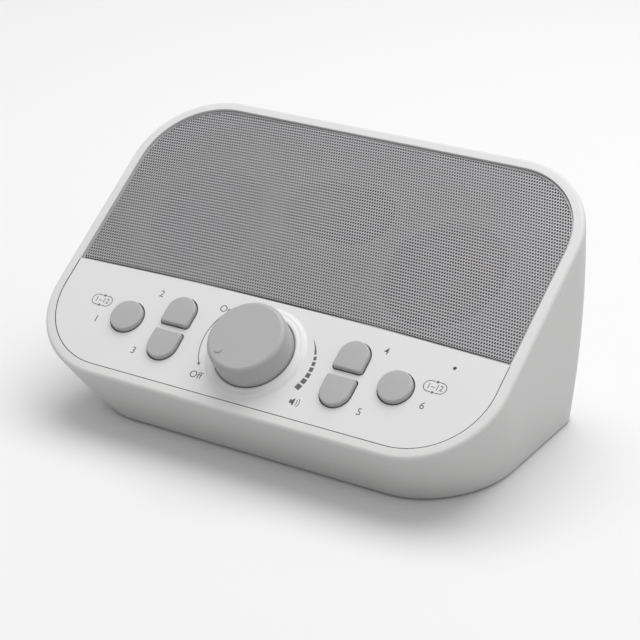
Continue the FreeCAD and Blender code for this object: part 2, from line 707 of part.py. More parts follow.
# two speakers hang under the baffle on gaskets
seat = -s.ledge_depth - s.baffle_thick
flange_top = seat - s.gasket_thick
inner = s.speaker_cone + s.surround_gap
for side, sign in (("left", -1), ("right", 1)):
    x = s.layout_shift + speaker_reach * sign
    y = s.speaker_up
    gasket = body(side + "_speaker_gasket", face_place())
    round_pad(gasket, side + "_gasket_ring", x, y, flange_top, s.speaker_radius, s.gasket_thick)
    round_pad(gasket, side + "_gasket_hole", x, y, seat, s.speaker_cone + s.baffle_hole_edge,
              s.gasket_thick, "Pocket")
    basket = body(side + "_speaker_basket", face_place())
    turned(basket, side + "_basket", x, y, flange_top, [
        (inner, Size(0, "0")), (s.speaker_radius, Size(0, "0")), (s.speaker_radius, -s.flange_thick),
        (inner + s.basket_wall, -s.flange_thick), (s.speaker_neck + s.basket_wall, -s.speaker_depth),
        (Size(0, "0"), -s.speaker_depth), (Size(0, "0"), s.basket_wall - s.speaker_depth),
        (s.speaker_neck, s.basket_wall - s.speaker_depth), (inner, -s.flange_thick)])
    cone = body(side + "_speaker_cone", face_place())
    edge = inner - s.cone_play
    crest = s.speaker_cone - s.surround_width / 2
    foot = s.speaker_cone - s.surround_width
    turned(cone, side + "_cone", x, y, flange_top, [
        (edge, -s.cone_play), (crest, s.surround_rise), (foot, -s.cone_play),
        (s.cap_radius, -s.cone_deep), (s.cap_radius, -s.cone_deep - s.sheet_thick),
        (foot, -s.cone_play - s.sheet_thick), (crest, s.surround_rise - s.sheet_thick),
        (edge, -s.cone_play - s.sheet_thick)])
    cap = body(side + "_dust_cap", face_place())
    cap_round = s.cap_radius * 0.6
    turned(cap, side + "_cap", x, y, flange_top, [
        (Size(0, "0"), s.cap_rise - s.cone_deep), (cap_round, s.cap_rise * 0.7 - s.cone_deep),
        (s.cap_radius, -s.cone_deep), (s.cap_radius, -s.cone_deep - s.sheet_thick),
        (Size(0, "0"), -s.cone_deep - s.sheet_thick)])
    coil = body(side + "_voice_coil", face_place())
    coil_low = flange_top - s.speaker_depth + s.basket_wall + s.cone_play
    coil_top = flange_top - s.cone_deep - s.sheet_thick
    round_pad(coil, side + "_coil_tube", x, y, coil_low, s.coil_radius, coil_top - coil_low)
    round_pad(coil, side + "_coil_bore", x, y, coil_top, s.coil_radius - s.sheet_thick,
              coil_top - coil_low, "Pocket")
    magnet = body(side + "_speaker_magnet", face_place())
    magnet_low = flange_top - s.speaker_depth - s.magnet_thick
    round_pad(magnet, side + "_magnet", x, y, magnet_low, s.magnet_radius, s.magnet_thick)

# the passive radiator behind the middle of the grille
mid = s.layout_shift.value
up = s.radiator_up.value
under = seat.value - s.radiator_thick.value
rim = 2 * s.radiator_flange.value
play = 2 * s.radiator_play.value
wide = radiator_width.value
tall = s.radiator_height.value
frame_block = racetrack(mid, up, wide + rim, tall + rim, under, s.radiator_thick.value)
opening = racetrack(mid, up, wide - rim, tall - rim, under - 1, s.radiator_thick.value + 2)
solid("radiator_frame", frame_block.cut(opening), face_place())
plate_wide = wide - rim - play
plate_tall = tall - rim - play
plate = racetrack(mid, up, plate_wide, plate_tall, under, s.radiator_thick.value)
weight = racetrack(mid, up, plate_wide / 2, plate_tall / 2, under - s.radiator_thick.value,
                   s.radiator_thick.value)
solid("radiator_plate", plate.fuse(weight).removeSplitter(), face_place())

# the power inlet stands behind its hole in the back wall
pad_front = s.base_back.value - s.wall.value - s.inlet_pad.value
half = s.inlet_size.value / 2
inlet = Part.makeBox(2 * half, s.inlet_long.value, 2 * half, Vector(
    s.inlet_side.value - half, pad_front - s.inlet_long.value, s.inlet_up.value - half))
mouth = Vector(s.inlet_side.value, pad_front, s.inlet_up.value)
inlet = inlet.cut(Part.makeCylinder(s.inlet_bore.value, s.inlet_deep.value, mouth, Vector(0, -1, 0)))
tip = mouth + Vector(0, -1, 0)
inlet = inlet.fuse(Part.makeCylinder(s.inlet_pin.value, s.inlet_deep.value, tip, Vector(0, -1, 0)))
solid("power_inlet", inlet.removeSplitter())

# the main board stands on the cover's studs
main = body("main_board")
box_pad(main, "main_plate", Size(0, "0"), s.main_middle, Size(main_low(), repr(main_low())),
        s.main_width, s.main_long, s.main_thick)
for place, (x, y) in enumerate(main_studs()):
    round_pad(main, "main_hole_%d" % place, Size(x, repr(x)), Size(y, repr(y)),
              Size(main_low() + s.main_thick.value, repr(main_low() + s.main_thick.value)),
              s.small_screw + s.screw_fit, s.main_thick, "Pocket")
floor = main_low() + s.main_thick.value
middle = s.main_middle.value
parts = [post_up(side * s.can_reach.value, middle, s.can_radius.value, floor, floor + s.can_tall.value)
         for side in (-1, 1)]
chip = s.chip_size.value
parts.append(Part.makeBox(chip, chip, s.chip_tall.value, Vector(-chip / 2, middle - chip / 2, floor)))
solid("board_parts", group(parts))


def finish():
    os.makedirs("parts", exist_ok=True)
    doc.recompute()
    for item in doc.Objects:
        if "Invalid" in item.State or "Error" in item.State:
            raise RuntimeError("%s failed: %s" % (item.Label, item.State))
    for item in made:
        if item.Shape.isNull() or not item.Shape.isValid():
            raise RuntimeError("%s has no valid shape" % item.Label)
    for item in made:
        item.Shape.exportStep("parts/%s.step" % item.Label)
        print("%-22s %9.1f mm3  %d solids" % (item.Label, item.Shape.Volume, len(item.Shape.Solids)))


finish()
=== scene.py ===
"""Looks of a wedge-shaped tabletop sound machine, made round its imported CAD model.

Everything is in metres in the CAD's own frame: +X to the user's right, +Y to the back, +Z up.
Places on the tilted face are given in millimetres as across, up and out, measured from the
middle of the face, and FACE carries them into the frame.
"""

import math

import bmesh
import bpy
from mathutils import Matrix, Vector
from mathutils.bvhtree import BVHTree


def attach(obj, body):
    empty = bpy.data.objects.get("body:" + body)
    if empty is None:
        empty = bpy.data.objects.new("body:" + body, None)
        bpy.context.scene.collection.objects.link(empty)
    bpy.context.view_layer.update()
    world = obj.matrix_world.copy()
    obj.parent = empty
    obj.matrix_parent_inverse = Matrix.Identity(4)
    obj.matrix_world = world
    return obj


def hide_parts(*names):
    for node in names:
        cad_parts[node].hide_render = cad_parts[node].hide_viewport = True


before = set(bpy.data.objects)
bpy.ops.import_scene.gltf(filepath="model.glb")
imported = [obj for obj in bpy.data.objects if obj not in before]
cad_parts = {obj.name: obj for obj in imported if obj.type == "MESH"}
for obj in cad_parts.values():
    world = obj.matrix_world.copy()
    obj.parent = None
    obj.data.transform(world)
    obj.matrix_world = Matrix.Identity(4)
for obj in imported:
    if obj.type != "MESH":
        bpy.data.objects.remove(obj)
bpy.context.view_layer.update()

bl_info = {
    "name": "Tabletop Sound Machine",
    "version": (1, 0, 0),
    "blender": (4, 5, 0),
    "location": "View3D > Sidebar > Sound Machine",
    "description": "Dresses the CAD model of a tabletop sound machine and sets up its studio",
    "category": "Object",
}

MM = 0.001
TILT = math.radians(34.8)
FACE_MIDDLE = Vector((0, -2.1 * MM, 55.0 * MM))
FACE = Matrix.Translation(FACE_MIDDLE) @ Matrix.Rotation(TILT, 4, "X") @ Matrix.Scale(MM, 4)
OUTWARD = Vector((0, -math.sin(TILT), math.cos(TILT)))

KEYS = ("left_round_key", "left_upper_key", "left_lower_key",
        "right_round_key", "right_upper_key", "right_lower_key")
SPEAKER_SIDES = ("left", "right")

# Printed marks stand a hair above the panel, whose front lies 0.1 mm below the face.
MARKS_LOW = -0.11
MARKS_HIGH = -0.085
# The dark bands of painted shade at the panel's seams stand a hair above the panel as well.
GAP_SHADE_LOW = -0.14
GAP_SHADE_HIGH = -0.08

# A capital's height as a share of the type size.
CAPITAL = 0.69

# The rows of holes sag by their full measure at this distance from the middle.
SAG_REACH = 80.0


# Settings


def size_property(name, description, default):
    """A length whose default is given in millimetres."""
    return bpy.props.FloatProperty(name=name, description=description, default=default * MM,
                                   min=0, precision=5, unit="LENGTH")


def colour_property(name, description, default):
    """A colour in linear values."""
    return bpy.props.FloatVectorProperty(name=name, description=description, default=default,
                                         min=0, max=1, size=3, subtype="COLOR")


class SoundMachineGrille(bpy.types.PropertyGroup):
    """Sizes of the perforated sheet."""

    pitch: size_property("Hole pitch", "Distance between two holes of one row", 0.92)
    row: size_property("Row pitch", "Distance between two rows", 1.11)
    hole: size_property("Hole", "Width of a hole along its row", 0.69)
    hole_height: size_property("Hole height", "Height of a hole across its row", 0.86)
    drop: size_property("Drop", "How far the sheet lies below the rim", 0.9)
    thickness: size_property("Thickness", "Thickness of the perforated sheet", 0.45)
    edge: size_property("Edge", "Width of the plain edge under the rim", 0.55)
    sag: size_property("Sag", "How far the rows fall from the middle to the sides", 1.6)


class SoundMachineKnob(bpy.types.PropertyGroup):
    """Sizes of the volume knob."""

    radius: size_property("Radius", "Radius at the foot of the knob", 13.0)
    height: size_property("Height", "Height of the flat top above the face", 10.0)
    dot: size_property("Dot", "Radius of the raised dot", 1.2)
    across: bpy.props.FloatProperty(name="Across", description="Place of the axis across the face",
                                    default=-0.95 * MM, precision=5, unit="LENGTH")
    up: bpy.props.FloatProperty(name="Up", description="Place of the axis up the face",
                                default=-34.3 * MM, precision=5, unit="LENGTH")


class SoundMachineColours(bpy.types.PropertyGroup):
    """Colours of the finishes."""

    housing: colour_property("Housing", "Moulded housing", (0.79, 0.79, 0.785))
    panel: colour_property("Panel", "Control panel", (0.82, 0.82, 0.82))
    control: colour_property("Controls", "Knob and keys", (0.47, 0.47, 0.47))
    grille: colour_property("Grille", "Painted perforated sheet", (0.45, 0.45, 0.455))
    ink: colour_property("Ink", "Marks printed on the panel", (0.115, 0.115, 0.118))
    baffle: colour_property("Baffle", "Moulded baffle behind the grille", (0.20, 0.20, 0.203))


class SoundMachineStudio(bpy.types.PropertyGroup):
    """Lamps and camera."""

    key_power: bpy.props.FloatProperty(
        name="Key lamp", description="Power of the large lamp above",
        default=10.2, min=0, unit="POWER")
    fill_power: bpy.props.FloatProperty(
        name="Fill lamp", description="Power of the lamp on the right",
        default=0.6, min=0, unit="POWER")
    sky: bpy.props.FloatProperty(
        name="Sky", description="Brightness of the studio round the object",
        default=0.485, min=0)
    backdrop: bpy.props.FloatProperty(
        name="Backdrop", description="Brightness of the studio as the camera sees it",
        default=0.96, min=0)
    lens: bpy.props.FloatProperty(
        name="Lens", description="Focal length in millimetres on a 36 mm sensor",
        default=117.07, min=10)


# Mesh tools


def on_face(across, up, out=0.0):
    """A place on the face in millimetres, as a point of the frame."""
    return FACE @ Vector((across, up, out))


def new_piece(name, mesh, material, body, slot, *stands_for):
    """Puts a finished mesh in the scene as a piece that rides on a CAD body."""
    piece = bpy.data.objects.new(name, mesh)
    bpy.context.scene.collection.objects.link(piece)
    mesh.materials.clear()
    mesh.materials.append(material)
    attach(piece, body)
    if stands_for:
        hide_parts(*stands_for)


def mesh_of(shape, name, smooth_angle=None):
    """Turns a bmesh into a mesh with outward faces, smooth below the given angle in degrees."""
    bmesh.ops.recalc_face_normals(shape, faces=shape.faces)
    mesh = bpy.data.meshes.new(name)
    shape.to_mesh(mesh)
    shape.free()
    if smooth_angle is None:
        mesh.shade_flat()
    else:
        mesh.shade_smooth()
        mesh.set_sharp_from_angle(angle=math.radians(smooth_angle))
    return mesh


def merged(node):
    """A merged bmesh copy of a CAD node."""
    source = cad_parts[node].data
    shape = bmesh.new()
    points = [shape.verts.new(v.co) for v in source.vertices]
    for face in source.polygons:
        try:
            shape.faces.new([points[i] for i in face.vertices])
        except ValueError:
            # the same face, met a second time
            continue
    bmesh.ops.remove_doubles(shape, verts=shape.verts, dist=1e-6)
    return shape


def smooth_twin(node, material, body, slot, angle=28):
    """A smoothly shaded twin that stands for a CAD node whose form is right."""
    name = node + "_skin"
    new_piece(name, mesh_of(merged(node), name, angle), material, body, slot, node)


def rounded(points, steps=6):
    """Corner points (radius, height, rounding) as a polyline with its corners rounded."""
    line = []
    for i, (x, y, r) in enumerate(points):
        here = Vector((x, y))
        if r == 0 or i in (0, len(points) - 1):
            line.append(here)
            continue
        back = (Vector(points[i - 1][:2]) - here).normalized()
        on = (Vector(points[i + 1][:2]) - here).normalized()
        half = back.angle(on) / 2
        reach = r / math.tan(half)
        start, end = here + back * reach, here + on * reach
        middle = here + (back + on).normalized() * (r / math.sin(half))
        a, b = start - middle, end - middle
        whole = a.angle(b)
        for k in range(steps + 1):
            t = k / steps
            out = a * math.sin((1 - t) * whole) + b * math.sin(t * whole)
            line.append(middle + out / math.sin(whole))
    return line


def lathe(shape, line, across, up, segments):
    """Turns a polyline of (radius, height) in millimetres about an axis that stands on the face."""
    rings = []
    for radius, height in line:
        if radius < 1e-6:
            rings.append([shape.verts.new(on_face(across, up, height))])
            continue
        places = arc(across, up, radius, 0, 360, segments)[:-1]
        rings.append([shape.verts.new(on_face(*place, height)) for place in places])
    for low, high in zip(rings, rings[1:]):
        for k in range(segments):
            n = (k + 1) % segments
            corners = [low[k % len(low)], low[n % len(low)],
                       high[n % len(high)], high[k % len(high)]]
            unique = list(dict.fromkeys(corners))
            if len(unique) > 2:
                shape.faces.new(unique)


def plate(shape, outline, low, high):
    """A thin closed plate on the face from an outline of (across, up) points in millimetres."""
    top = [shape.verts.new(on_face(x, y, high)) for x, y in outline]
    bottom = [shape.verts.new(on_face(x, y, low)) for x, y in outline]
    shape.faces.new(top)
    shape.faces.new(bottom[::-1])
    for i in range(len(outline)):
        j = (i + 1) % len(outline)
        shape.faces.new([top[i], bottom[i], bottom[j], top[j]])


def ribbon(shape, line, widths, low, high):
    """A thin band with closed ends along (across, up) points, with one width or one for each."""
    points = [Vector(p) for p in line]
    count = len(points)
    widths = [widths] * count if isinstance(widths, (int, float)) else widths
    corners = []
    for i, here in enumerate(points):
        before = points[i - 1] if i else here
        after = points[i + 1] if i < count - 1 else here
        along = (after - before).normalized()
        side = Vector((-along.y, along.x)) * widths[i] / 2
        corners.append([shape.verts.new(on_face(*(here + side * w), n))
                        for w, n in ((1, high), (-1, high), (-1, low), (1, low))])
    for near, far in zip(corners, corners[1:]):
        for k in range(4):
            m = (k + 1) % 4
            shape.faces.new([near[k], near[m], far[m], far[k]])
    shape.faces.new(corners[0])
    shape.faces.new(corners[-1][::-1])


def border(shape, outline, width, low, high):
    """A closed band of one width outside an outline, or inside it when the width is negative."""
    turn = sum(a.cross(b) for a, b in zip(outline, outline[1:] + outline[:1]))
    if turn < 0:
        outline = outline[::-1]
    moved = []
    for i, here in enumerate(outline):
        a = (here - outline[i - 1]).normalized()
        b = (outline[(i + 1) % len(outline)] - here).normalized()
        outward = Vector((a.y + b.y, -a.x - b.x)).normalized()
        slant = max(0.35, outward.dot(Vector((a.y, -a.x))))
        moved.append(here + outward * (width / slant))
    rings = [[shape.verts.new(on_face(*p, n)) for p in ring]
             for ring, n in ((outline, high), (moved, high), (moved, low), (outline, low))]
    for i in range(len(outline)):
        j = (i + 1) % len(outline)
        for a, b in zip(rings, rings[1:] + rings[:1]):
            shape.faces.new([a[i], a[j], b[j], b[i]])


def openings(node, shortest, longest):
    """Outlines in the front of a CAD node whose way round lies between two lengths."""
    shape = merged(node)
    shape.normal_update()
    edges = [e for e in shape.edges if len(e.link_faces) == 2 and
             sorted(f.normal.dot(OUTWARD) > 0.99 for f in e.link_faces) == [False, True]]
    beside = {}
    for edge in edges:
        for here, there in (edge.verts, reversed(edge.verts)):
            beside.setdefault(here, []).append(there)
    found = []
    while beside:
        here = next(iter(beside))
        loop = []
        while here in beside:
            loop.append(here)
            onward = beside.pop(here)
            here = next((v for v in onward if v in beside), None)
        points = [(FACE.inverted() @ v.co).to_2d() for v in loop]
        around = sum((a - b).length for a, b in zip(points, points[1:] + points[:1]))
        if len(points) > 8 and shortest < around < longest:
            found.append(points)
    shape.free()
    return found


def arc(across, up, radius, start, end, steps):
    """Points on a circle between two angles in degrees."""
    return [(across + radius * math.cos(math.radians(start + (end - start) * k / steps)),
             up + radius * math.sin(math.radians(start + (end - start) * k / steps)))
            for k in range(steps + 1)]


def lettering(shape, words, across, up, tall):
    """Plain figures or words as thin closed solids, centred on a place of the face."""
    curve = bpy.data.curves.new("figures", "FONT")
    curve.body = words
    curve.align_x = "CENTER"
    curve.align_y = "CENTER"
    curve.size = tall / CAPITAL
    curve.extrude = (MARKS_HIGH - MARKS_LOW) / 2
    curve.offset = 0.002 * tall
    curve.resolution_u = 4
    text = bpy.data.objects.new("figures", curve)
    bpy.context.scene.collection.objects.link(text)
    bpy.context.view_layer.update()
    done = text.evaluated_get(bpy.context.evaluated_depsgraph_get())
    mesh = bpy.data.meshes.new_from_object(done)
    mesh.transform(FACE @ Matrix.Translation((across, up, (MARKS_LOW + MARKS_HIGH) / 2)))
    piece = bmesh.new()
    piece.from_mesh(mesh)
    bmesh.ops.remove_doubles(piece, verts=piece.verts, dist=1e-7)
    piece.to_mesh(mesh)
    piece.free()
    shape.from_mesh(mesh)
    bpy.data.objects.remove(text)
    bpy.data.curves.remove(curve)
    bpy.data.meshes.remove(mesh)


# Materials


class Signal:
    """A shader socket on which plain arithmetic adds Math nodes."""

    def __init__(self, graph, socket):
        self.graph = graph
        self.socket = socket

    def maths(self, operation, *values):
        """A Math node on these values, whichever of them are sockets."""
        return self.graph.node("ShaderNodeMath", {"operation": operation}, dict(enumerate(values)))

    def __add__(self, other):
        return self.maths("ADD", self, other)

    def __sub__(self, other):
        return self.maths("SUBTRACT", self, other)

    def __mul__(self, other):
        return self.maths("MULTIPLY", self, other)

    def __radd__(self, other):
        return self.maths("ADD", other, self)

    def __rsub__(self, other):
        return self.maths("SUBTRACT", other, self)

    def __rmul__(self, other):
        return self.maths("MULTIPLY", other, self)

    def above(self, level, softness):
        """0 below the level and 1 above it, with a soft step."""
        return self.graph.node("ShaderNodeMapRange", {"interpolation_type": "SMOOTHSTEP"},
                               {0: self, 1: level - softness, 2: level + softness, 3: 0.0, 4: 1.0})


class Graph:
    """The node tree of one finish."""

    def __init__(self, name):
        self.material = bpy.data.materials.new(name)
        self.material.use_nodes = True
        self.tree = self.material.node_tree
        self.shader = self.tree.nodes["Principled BSDF"]
        self.place = self.node("ShaderNodeTexCoord", output="Object")

    def put(self, socket, value):
        """Links a signal to a socket, or sets the socket's own value."""
        if isinstance(value, Signal):
            self.tree.links.new(value.socket, socket)
        else:
            socket.default_value = value

    def node(self, kind, settings=None, sockets=None, output=0):
        """Any node: its settings first, then the values and links of its sockets."""
        made = self.tree.nodes.new(kind)
        for name, value in (settings or {}).items():
            setattr(made, name, value)
        for name, value in (sockets or {}).items():
            self.put(made.inputs[name], value)
        return Signal(self, made.outputs[output])

    def noise(self, grain, detail=2.0, roughness=0.5, place=None):
        """Noise from 0 to 1 whose grains are about this many millimetres."""
        return self.node("ShaderNodeTexNoise", {"noise_dimensions": "3D"},
                         {"Vector": place or self.place, "Scale": 1 / (grain * MM),
                          "Detail": detail, "Roughness": roughness})

    def blend(self, factor, first, second):
        """A colour between two."""
        return self.node("ShaderNodeMix", {"data_type": "RGBA"},
                         {0: factor, 6: (*first, 1) if isinstance(first, tuple) else first,
                          7: (*second, 1) if isinstance(second, tuple) else second}, output=2)

    def height_over_face(self):
        """How far a point lies in front of the face of the object."""
        toward = self.node("ShaderNodeVectorMath", {"operation": "DOT_PRODUCT"},
                           {0: self.place, 1: tuple(OUTWARD)}, output="Value")
        return toward - FACE_MIDDLE.dot(OUTWARD)

    def bump(self, height, strength, depth):
        """A normal from a height, for a relief about this many millimetres deep."""
        return self.node("ShaderNodeBump", None,
                         {"Height": height, "Strength": strength, "Distance": depth * MM})

    def surface(self, **sockets):
        """Feeds the shader's sockets and returns the finished material."""
        for name, value in sockets.items():
            self.put(self.shader.inputs[name.replace("_", " ")], value)
        return self.material


def shade(colour, factor):
    """A colour made darker or lighter."""
    return tuple(min(1.0, c * factor) for c in colour)


def moulded(name, colour, roughness, grain=0.28, relief=0.010, mottling=0.02):
    """Fine spark-eroded moulded plastic: an even matt grain with faint flow marks."""
    graph = Graph(name)
    colour = tuple(colour)
    flow = graph.noise(28, 3.0, 0.55)
    spark = graph.noise(grain, 3.0, 0.6)
    speck = graph.noise(grain * 6, 1.0)
    tone = graph.blend(flow * 0.6 + spark * 0.4,
                       shade(colour, 1 - mottling), shade(colour, 1 + mottling))
    return graph.surface(
        Base_Color=tone,
        Roughness=roughness - 0.05 + flow * 0.05 + spark * 0.05,
        Normal=graph.bump(spark * 0.8 + speck * 0.2, 0.55, relief),
        IOR=1.49, Specular_IOR_Level=0.42)


def painted_sheet(name, colour):
    """Grey baked paint on punched steel with a fine orange peel, and painted shade on the walls
    inside the holes.
    """
    graph = Graph(name)
    colour = tuple(colour)
    cloud = graph.noise(18, 2.0)
    peel = graph.noise(0.35, 2.0, 0.45)
    flake = graph.noise(0.09, 1.0)
    paint = graph.blend(cloud * 0.5 + flake * 0.5, shade(colour, 0.92), shade(colour, 1.08))
    drop = bpy.context.scene.sound_machine_grille.drop
    # Painted shade: every face below the sheet's front, the walls of the holes and of the plain
    # edge, is painted nearly black.
    front = graph.height_over_face().above(-drop - 0.05 * MM, 0.03 * MM)
    shadow = (0.008, 0.008, 0.008)
    tone = graph.blend(front, shadow, paint)
    return graph.surface(
        Base_Color=tone, Metallic=0.2,
        Roughness=0.38 + peel * 0.12,
        Normal=graph.bump(peel, 0.4, 0.006))


def machined(name, colour, roughness, grain=0.25):
    """Plated steel with short turning marks."""
    graph = Graph(name)
    colour = tuple(colour)
    stretched = graph.node("ShaderNodeMapping", {"vector_type": "POINT"},
                           {"Vector": graph.place, "Scale": (1.0, 1.0, 5.0)})
    marks = graph.noise(grain, 3.0, 0.6, stretched)
    stain = graph.noise(6, 2.0)
    tone = graph.blend(stain, shade(colour, 0.86), shade(colour, 1.06))
    return graph.surface(
        Base_Color=tone, Metallic=1.0,
        Roughness=roughness - 0.08 + marks * 0.16,
        Normal=graph.bump(marks, 0.5, 0.004))


def soft_rubber(name, colour, roughness):
    """Matt rubber with a dusty bloom."""
    graph = Graph(name)
    colour = tuple(colour)
    bloom = graph.noise(3.5, 4.0, 0.6)
    grain = graph.noise(0.18, 2.0)
    dust = bloom.above(0.58, 0.14)
    tone = graph.blend(dust * 0.35, colour, shade(colour, 2.2))
    return graph.surface(
        Base_Color=tone, Roughness=roughness + dust * 0.08,
        Normal=graph.bump(grain + bloom * 0.5, 0.5, 0.012))


def pressed_paper(name, colour):
    """Felted fibres of a speaker cone."""
    graph = Graph(name)
    colour = tuple(colour)
    long_way = graph.node("ShaderNodeMapping", {"vector_type": "POINT"},
                          {"Vector": graph.place, "Scale": (1.0, 4.0, 1.0)})
    fibres = graph.noise(0.5, 4.0, 0.7, long_way)
    felt = graph.noise(0.22, 3.0, 0.65)
    tone = graph.blend(fibres * 0.6 + felt * 0.4, shade(colour, 0.6), shade(colour, 1.5))
    return graph.surface(
        Base_Color=tone, Roughness=0.82 + felt * 0.12,
        Normal=graph.bump(fibres * 0.6 + felt * 0.4, 0.7, 0.03), Specular_IOR_Level=0.3)


def laminate(name, colour):
    """Glass fibre board under solder mask, its weave just showing."""
    graph = Graph(name)
    colour = tuple(colour)
    threads = 480.0
    warp, weft = [
        graph.node("ShaderNodeTexWave", {"wave_type": "BANDS", "bands_direction": way},
                   {"Vector": graph.place, "Scale": threads, "Distortion": 0.3}, output="Fac")
        for way in ("X", "Y")]
    weave = warp * weft
    tone = graph.blend(weave, shade(colour, 0.75), shade(colour, 1.15))
    return graph.surface(Base_Color=tone, Roughness=0.30 + weave * 0.10,
                         Normal=graph.bump(weave, 0.3, 0.01), Coat_Weight=0.3)


def printed_ink(name, colour):
    """Pad-printed ink, a little uneven and matt."""
    graph = Graph(name)
    colour = tuple(colour)
    cover = graph.noise(0.25, 3.0, 0.6)
    tone = graph.blend(cover, shade(colour, 0.9), shade(colour, 1.12))
    return graph.surface(Base_Color=tone, Roughness=0.50 + cover * 0.12,
                         Normal=graph.bump(cover, 0.3, 0.003))


def smoked_lens(name):
    """Dark clear plastic of the status light."""
    graph = Graph(name)
    swirl = graph.noise(0.6, 2.0)
    tone = graph.blend(swirl, (0.020, 0.020, 0.022), (0.045, 0.045, 0.05))
    return graph.surface(Base_Color=tone, Roughness=0.12 + swirl * 0.10, Coat_Weight=0.5)


def finish_of(name):
    """A finish by name, made once."""
    found = bpy.data.materials.get(name)
    if found:
        return found
    colours = bpy.context.scene.sound_machine_colours
    if name == "housing_moulding":
        return moulded(name, colours.housing, 0.50)
    if name == "panel_moulding":
        return moulded(name, colours.panel, 0.46, grain=0.22, relief=0.007)
    if name == "control_moulding":
        return moulded(name, colours.control, 0.43, grain=0.20, relief=0.008, mottling=0.03)
    if name == "grille_paint_and_hole_shade":
        return painted_sheet(name, colours.grille)
    if name == "panel_print":
        return printed_ink(name, colours.ink)
    if name == "baffle_plastic":
        return moulded(name, colours.baffle, 0.60, grain=0.4, relief=0.02, mottling=0.06)
    if name == "plated_steel":
        return machined(name, (0.58, 0.58, 0.59), 0.36)
    if name == "ferrite":
        return machined(name, (0.09, 0.09, 0.095), 0.62, 0.5)
    if name == "felted_paper":
        return pressed_paper(name, (0.012, 0.012, 0.012))
    if name == "foot_rubber":
        return soft_rubber(name, (0.045, 0.045, 0.046), 0.78)
    if name == "solder_mask":
        return laminate(name, (0.03, 0.15, 0.07))
    if name == "smoked_lens":
        return smoked_lens(name)
    # The black moulding also serves as painted shade at the panel's seams.
    if name == "black_moulding_and_gap_shade":
        return moulded(name, (0.022, 0.022, 0.023), 0.45, grain=0.3, mottling=0.08)
    raise ValueError("no finish is named " + name)


def dress(node, finish):
    """Gives a carried-over CAD node its finish."""
    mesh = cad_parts[node].data
    mesh.materials.clear()
    mesh.materials.append(finish_of(finish))


# Operators


class SOUNDMACHINE_OT_housing(bpy.types.Operator):
    """Make the housing's smooth skin and dress its cover, feet and screws"""

    bl_idname = "sound_machine.housing"
    bl_label = "Housing"

    def execute(self, context):
        smooth_twin("housing", finish_of("housing_moulding"), "root", "housing_plastic")
        dress("bottom_cover", "housing_moulding")
        smooth_twin("rubber_feet", finish_of("foot_rubber"), "root", "rubber", 40)
        for node in ("cover_screws", "board_screws", "main_board_screws"):
            dress(node, "plated_steel")
        return {"FINISHED"}


